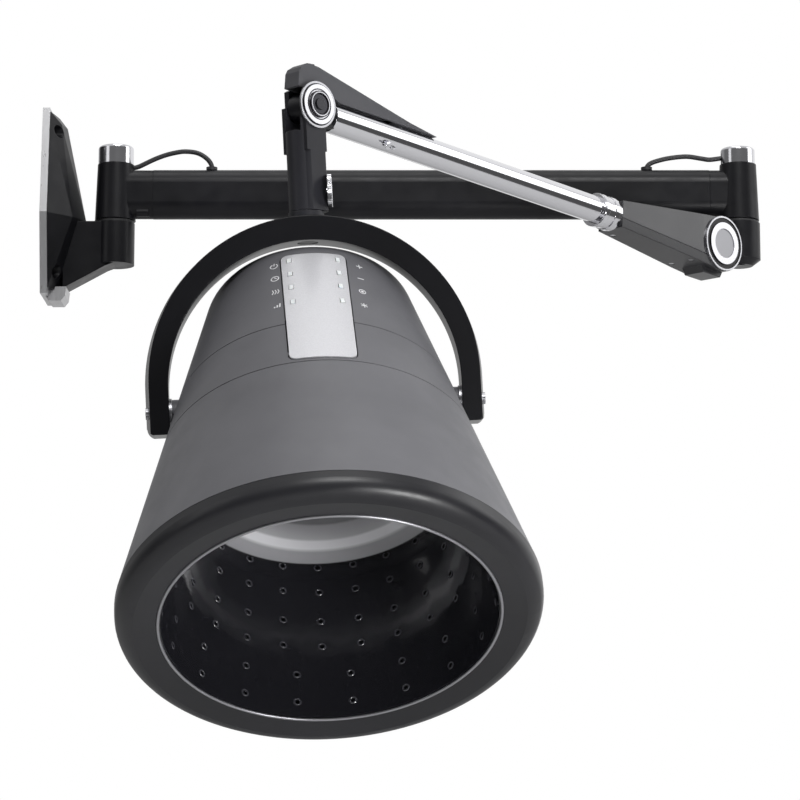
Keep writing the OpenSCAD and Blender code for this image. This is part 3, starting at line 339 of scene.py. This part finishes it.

# The hood's wall is near-black below its crease. Over the domed ceiling above it lies a painted
# reflection of the studio, as rings about the hood's axis: a pale one near the crease, and darker ones
# towards the middle.
CEILING_REFLECTION_RINGS = ((0, "505054"), (82, "5c5c60"), (84, "8c8c90"), (96, "a8a8ac"), (98, "dcdce0"),
                 (104, "dcdce0"), (107, "949498"), (120, "86868a"))
WALL_TONE, CEILING_FROM_Z, BLEND_HALF = "1e1e22", -80.5, 0.3
tree, inputs = opened(hood_gloss_painted_reflection)
place = add(tree, "TexCoord")
along = add(tree, "VectorMath", {0: place.outputs["Object"]}, {1: hood_axis}, operation="DOT_PRODUCT")
crease = hood_axis.dot(head.translation) + CEILING_FROM_Z * MM
share = add(tree, "MapRange", {"Value": along.outputs["Value"]},
            {"From Min": crease - BLEND_HALF * MM, "From Max": crease + BLEND_HALF * MM})
ceiling = rings_about(tree, head.translation, hood_axis, CEILING_REFLECTION_RINGS)
# Sockets 6 and 7 of a Mix node are its two colours, and output 2 is the mixed one.
# The mix lays the painted reflection above the crease, and the wall's own near-black below it.
painted_reflection_tint = add(tree, "Mix", {0: share.outputs["Result"], 7: ceiling}, {6: linear(WALL_TONE)},
           data_type="RGBA")
tree.links.new(painted_reflection_tint.outputs[2], inputs["Base Color"])


# ---- Making pieces ----

# An edge whose faces bend more than this is shaded as a sharp one.
SHARP_EDGE = math.radians(35)


def into_scene(name, data):
    made = bpy.data.objects.new(name, data)
    bpy.context.scene.collection.objects.link(made)
    return made


def piece(name, mesh, place, finish, body):
    """Makes a bmesh, drawn in millimetres, into an object at the origin that rides on a body."""
    bmesh.ops.scale(mesh, vec=(MM, MM, MM), verts=mesh.verts)
    bmesh.ops.transform(mesh, matrix=place, verts=mesh.verts)
    bmesh.ops.recalc_face_normals(mesh, faces=mesh.faces)
    for edge in mesh.edges:
        edge.smooth = edge.calc_face_angle(0) <= SHARP_EDGE
    for face in mesh.faces:
        face.smooth = True
    data = bpy.data.meshes.new(name)
    mesh.to_mesh(data)
    mesh.free()
    data.materials.append(finish)
    made = into_scene(name, data)
    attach(made, body)
    return made


# ---- Cables over the two hinges ----

# Their points in X and Z, in millimetres: one runs from the wall cap to a grommet in the arm, and
# the other from the next grommet to the elbow cap.
WALL_CABLE = ((83, 40.6), (88, 40.6), (93, 41.9), (99, 44.8), (108, 49.2), (119, 53.5), (130, 56.3),
              (140, 57.4), (152, 55.6), (161.5, 49.5), (166, 42), (166, 33))
ELBOW_CABLE = ((601.5, 33), (601.5, 40), (605, 44.8), (614, 48.2), (626, 50.8), (642, 52.2),
               (656, 50.2), (664, 49), (672, 49.8), (679, 50.8))
ROUTE_STEPS = 6


def route(points):
    """A smooth curve through the cable's points."""
    last = len(points) - 1
    way = []
    for i in range(last):
        a, b, c, d = (Vector(points[min(max(i + k, 0), last)]) for k in (-1, 0, 1, 2))
        for t in (step / ROUTE_STEPS for step in range(ROUTE_STEPS)):
            way.append(0.5 * (2 * b + (c - a) * t + (2 * a - 5 * b + 4 * c - d) * t * t
                              + (3 * b - a - 3 * c + d) * t ** 3))
    return way + [Vector(points[-1])]


def cable(name, node, points):
    curve = bpy.data.curves.new(name, "CURVE")
    curve.dimensions, curve.bevel_resolution, curve.use_fill_caps = "3D", 6, True
    curve.bevel_depth = CABLE_DIAMETER / 2 * MM
    spline = curve.splines.new("POLY")
    way = route(points)
    spline.points.add(len(way) - 1)
    for point, (x, z) in zip(spline.points, way):
        point.co = (x * MM, 0, z * MM, 1)
    spline.use_smooth = True
    curve.materials.append(pvc)
    made = into_scene(name, curve)
    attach(made, "arm1")
    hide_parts(node)


cable("wall_cable_jacket", "wall_cable", WALL_CABLE)
cable("elbow_cable_jacket", "elbow_cable", ELBOW_CABLE)


# ---- Knurled friction knob ----

KNOB_RADIUS, KNURL_RADIUS, KNOB_THICK, KNURL_POINTS = 14.4, 13.9, 3.4, 96
# Each step on the knob's faces: how far it moves in, and how far it rises.
KNOB_STEPS = ((0.5, 0.35), (2.6, 0.0), (0.4, -0.3))
STUD_RADIUS, STUD_LENGTH, STUD_MIDDLE = 3, 10, -4.9


def knurled_knob():
    mesh = bmesh.new()
    outline = bmesh.ops.create_circle(mesh, cap_ends=True, segments=KNURL_POINTS,
                                      radius=KNOB_RADIUS)["verts"]
    for vert in outline[1::2]:
        vert.co *= KNURL_RADIUS / KNOB_RADIUS
    disc = bmesh.ops.extrude_face_region(mesh, geom=list(mesh.faces))["geom"]
    outer = [part for part in disc if isinstance(part, bmesh.types.BMVert)]
    bmesh.ops.translate(mesh, vec=(0, 0, KNOB_THICK), verts=outer)
    for is_outer in (False, True):
        cap = [face for face in mesh.faces if len(face.verts) == KNURL_POINTS
               and (face.calc_center_median().z > KNOB_THICK / 2) == is_outer]
        for inset, rise in KNOB_STEPS:
            bmesh.ops.inset_region(mesh, faces=cap, thickness=inset, depth=rise)
    stud = bmesh.ops.create_cone(mesh, cap_ends=True, segments=32, radius1=STUD_RADIUS,
                                 radius2=STUD_RADIUS, depth=STUD_LENGTH)["verts"]
    bmesh.ops.translate(mesh, vec=(0, 0, STUD_MIDDLE), verts=stud)
    bmesh.ops.translate(mesh, vec=(0, 0, KNOB_OUT), verts=mesh.verts)
    return mesh


knob_place = hanger @ moved(YOKE_OUT, 0, KNOB_Z) @ turned("Z", KNOB_TURN) @ turned("Y", 90)
knob = piece("knob_knurled", knurled_knob(), knob_place, chrome, "friction_knob")
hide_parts("friction_knob")


# ---- Printed signs beside the keys ----

# Rings as radius, width, start and sweep, and bars as x, y, width, height and turn, in millimetres
# and degrees, all drawn before SIGN_SCALE.
SIGNS = {
    "power": (((2.0, 0.5, 120, 300),), ((0, 1.6, 0.5, 2.2),)),
    "clock": (((2.1, 0.5),), ((0, 0.7, 0.4, 1.5), (0.6, 0, 1.3, 0.4))),
    "steam": ((), [(x - 0.25, y, 0.5, 2.2, turn) for x in (-1.5, 0, 1.5)
                   for y, turn in ((1.0, 20), (-1.0, -20))]),
    "level": ((), [(-1.4 + 1.4 * i, h / 2 - 1.7, 0.8, h) for i, h in enumerate((1.2, 2.2, 3.4))]),
    "plus": ((), ((0, 0, 3.6, 0.6), (0, 0, 0.6, 3.6))),
    "minus": ((), ((0, 0, 3.6, 0.6),)),
    "dot": (((1.8, 0.5), (0.45, 0.8)), ()),
    "frost": ((), [(0, 0, 0.45, 4.0, turn) for turn in (0, 60, 120)]),
}
# How far each column lies from the panel's middle, and its signs from the top down.
SIGN_COLUMNS = ((-33.5, ("power", "clock", "steam", "level")), (39, ("plus", "minus", "dot", "frost")))
SIGN_ROWS = (81, 62, 42, 21)
SIGN_SCALE, INK_DEPTH, INK_OUT, RING_STEPS = 1.6, 0.12, 0.03, 24


def about_z(degrees):
    """What bmesh.ops.rotate takes for a turn about Z."""
    return {"cent": (0, 0, 0), "matrix": Matrix.Rotation(math.radians(degrees), 3, "Z")}


def bar(mesh, x, y, width, height, turn=0.0):
    made = bmesh.ops.create_cube(mesh, size=1.0)["verts"]
    bmesh.ops.scale(mesh, vec=(width, height, INK_DEPTH), verts=made)
    bmesh.ops.rotate(mesh, **about_z(turn), verts=made)
    bmesh.ops.translate(mesh, vec=(x, y, 0), verts=made)


def ring(mesh, radius, width, start=0.0, sweep=360.0):
    w, d = width / 2, INK_DEPTH / 2
    corners = [mesh.verts.new((radius + x, 0, z)) for x, z in ((-w, -d), (w, -d), (w, d), (-w, d))]
    face = mesh.faces.new(corners)
    bmesh.ops.rotate(mesh, **about_z(start), verts=corners)
    closed = sweep >= 360
    profile = [face, *face.edges, *corners]
    if closed:
        mesh.faces.remove(face)
        profile = [part for part in profile if part.is_valid]
    bmesh.ops.spin(mesh, geom=profile, cent=(0, 0, 0), axis=(0, 0, 1), angle=math.radians(sweep),
                   steps=RING_STEPS, use_merge=closed)


def sign(kind):
    mesh = bmesh.new()
    rings, bars = SIGNS[kind]
    for sizes in rings:
        ring(mesh, *sizes)
    for sizes in bars:
        bar(mesh, *sizes)
    bmesh.ops.scale(mesh, vec=(SIGN_SCALE, SIGN_SCALE, 1), verts=mesh.verts)
    return mesh


cone_tilt = math.degrees(math.atan(HEAD_FLARE))
for across, kinds in SIGN_COLUMNS:
    for kind, z in zip(kinds, SIGN_ROWS):
        radius = HEAD_RADIUS - HEAD_FLARE * z
        turn = PANEL_TURN + math.degrees(math.asin(across / radius))
        at = (head @ turned("Z", turn) @ moved(0, -radius - INK_OUT, z) @ turned("X", -cone_tilt)
              @ turned("X", 90))
        piece("sign_" + kind, sign(kind), at, ink, "head")


# ---- Raised rims round the steam holes ----

# Each row's height over the mouth, and its number of holes.
HOLE_ROWS = ((18.5, 18), (44, 18), (71, 24), (95, 24), (123, 24), (147, 24))
RIM_RADIUS, RIM_HALF_WIDTH, RIM_HALF_DEPTH, RIM_SUNK = 2.8, 0.9, 0.5, 0.1
RIM_CORNERS, RIM_STEPS = 6, 20


def steam_rims():
    mesh = bmesh.new()
    for height, count in HOLE_ROWS:
        wall_in = (MOUTH_RADIUS - CREASE_RADIUS) * height / INNER_HEIGHT
        radius = MOUTH_RADIUS - wall_in - RIM_SUNK
        for k in range(count):
            at = (turned("Z", PANEL_TURN + 360 * k / count)
                  @ Matrix.Translation((radius, 0, height + MOUTH_Z)) @ turned("Y", 90))
            angles = [math.radians(360 / RIM_CORNERS * i) for i in range(RIM_CORNERS)]
            corners = [mesh.verts.new((RIM_RADIUS + RIM_HALF_WIDTH * math.cos(t), 0,
                                       RIM_HALF_DEPTH * math.sin(t))) for t in angles]
            edges = [mesh.edges.new((corners[i], corners[(i + 1) % RIM_CORNERS]))
                     for i in range(RIM_CORNERS)]
            before = set(mesh.verts)
            bmesh.ops.spin(mesh, geom=corners + edges, cent=(0, 0, 0), axis=(0, 0, 1),
                           angle=math.tau, steps=RIM_STEPS, use_merge=True)
            made = [v for v in mesh.verts if v not in before] + [v for v in corners if v.is_valid]
            bmesh.ops.transform(mesh, matrix=at, verts=made)
    return mesh


piece("steam_hole_rims", steam_rims(), head, hole_rim, "head")


# ---- Floor and background ----

WHITE = (1, 1, 1, 1)
FLOOR_PLACE, FLOOR_HALF = (0.3, 0, -0.95), 2.2


def seen_directly(tree, rays):
    """1 for what the camera sees, also through a clear piece, and 0 for other rays."""
    return combine(tree, "MAXIMUM", rays.outputs["Is Camera Ray"], rays.outputs["Is Transmission Ray"])


# The floor is matte white to the lamps, and even white to the camera.
white = shader("studio_floor", "f4f4f4", 0.9)
tree = white.node_tree
rays = add(tree, "LightPath")
glow = add(tree, "Emission", values={"Color": WHITE, "Strength": 1.0})
mix = add(tree, "MixShader", {0: seen_directly(tree, rays), 1: tree.nodes["Principled BSDF"].outputs[0],
                              2: glow.outputs[0]})
tree.links.new(mix.outputs[0], tree.nodes["Material Output"].inputs["Surface"])
ground = bmesh.new()
bmesh.ops.create_grid(ground, x_segments=1, y_segments=1, size=FLOOR_HALF)
floor_mesh = bpy.data.meshes.new("floor")
ground.to_mesh(floor_mesh)
ground.free()
floor_mesh.materials.append(white)
floor = into_scene("floor", floor_mesh)
floor.location = FLOOR_PLACE

world = bpy.data.worlds.new("studio")
bpy.context.scene.world = world
world.use_nodes = True
tree = world.node_tree
tree.nodes.clear()
way = add(tree, "TexCoord")
direction = add(tree, "SeparateXYZ", {"Vector": way.outputs["Generated"]})


def bands(axis, levels):
    """Grey levels over one axis of the direction, from -1 to 1."""
    share = add(tree, "Math", {0: direction.outputs[axis]}, {1: 0.5, 2: 0.5}, operation="MULTIPLY_ADD")
    ramp = add(tree, "ValToRGB", {"Fac": share.outputs[0]})
    return fill_ramp(ramp, [((at + 1) / 2, (level, level, level, 1)) for at, level in levels])


# The room lights the object softly, and polished faces mirror the brighter of the room and the
# white backdrop, which fades towards the left.
room = bands("Z", ((-1, 0.5), (-0.45, 0.5), (-0.36, 0.06), (0.0, 0.06), (0.3, 0.12), (0.5, 0.5),
                   (1, 0.6)))
backdrop = bands("Y", ((-1, 0), (0.05, 0.02), (0.45, 1), (1, 1)))
sideways = bands("X", ((-1, 0.25), (-0.5, 0.3), (0.1, 0.9), (1, 1)))
rays = add(tree, "LightPath")
brighter = combine(tree, "MAXIMUM", combine(tree, "MULTIPLY", backdrop, sideways), room)
mirrored = combine(tree, "MULTIPLY", rays.outputs["Is Glossy Ray"], brighter)
white_share = combine(tree, "MAXIMUM", mirrored, seen_directly(tree, rays))
lit = add(tree, "Background", {"Color": room}, {"Strength": 0.5})
seen = add(tree, "Background", values={"Color": WHITE, "Strength": 1.0})
mix = add(tree, "MixShader", {0: white_share, 1: lit.outputs[0], 2: seen.outputs[0]})
add(tree, "OutputWorld", {"Surface": mix.outputs[0]})


# ---- Lamps and camera ----

def lamp(name, place, aim, size, power):
    """A rectangular lamp: place, aim and size in metres, power in watts."""
    light = bpy.data.lights.new(name, "AREA")
    light.shape, light.energy = "RECTANGLE", power
    light.size, light.size_y = size
    made = into_scene(name, light)
    made.location = place
    made.rotation_euler = (Vector(aim) - Vector(place)).to_track_quat("-Z", "Y").to_euler()


lamp("right_side", (2.5, -0.2, 0.85), (0.3, -0.4, -0.2), (1.2, 1.4), 10)
lamp("right_low", (1.5, -2.1, -0.72), (0.3, -0.4, -0.45), (0.8, 0.35), 26)
lamp("left_side", (-1.7, -1.4, 0.4), (0.3, -0.4, -0.2), (0.8, 1.4), 3)
lamp("front_softbox", (0.7, -2.6, 1.9), (0.3, -0.4, -0.3), (1.2, 1.0), 38)
lamp("top_softbox", (0.3, -0.4, 2.1), (0.3, -0.3, -0.2), (1.3, 1.3), 10)

# The camera stands in front of the object and a little below, and looks up by 9 degrees.
CAMERA_PLACE, CAMERA_PITCH = (0.3545, -2.933, -0.6594), 90 + 9
LENS_MM, SENSOR_MM, CLIP_END = 135, 36, 50
camera_data = bpy.data.cameras.new("camera")
camera_data.lens, camera_data.sensor_width = LENS_MM, SENSOR_MM
camera_data.clip_end = CLIP_END
camera = into_scene("camera", camera_data)
camera.location = CAMERA_PLACE
camera.rotation_euler = (math.radians(CAMERA_PITCH), 0, 0)
bpy.context.scene.camera = camera
bpy.context.scene.view_settings.view_transform = "Standard"
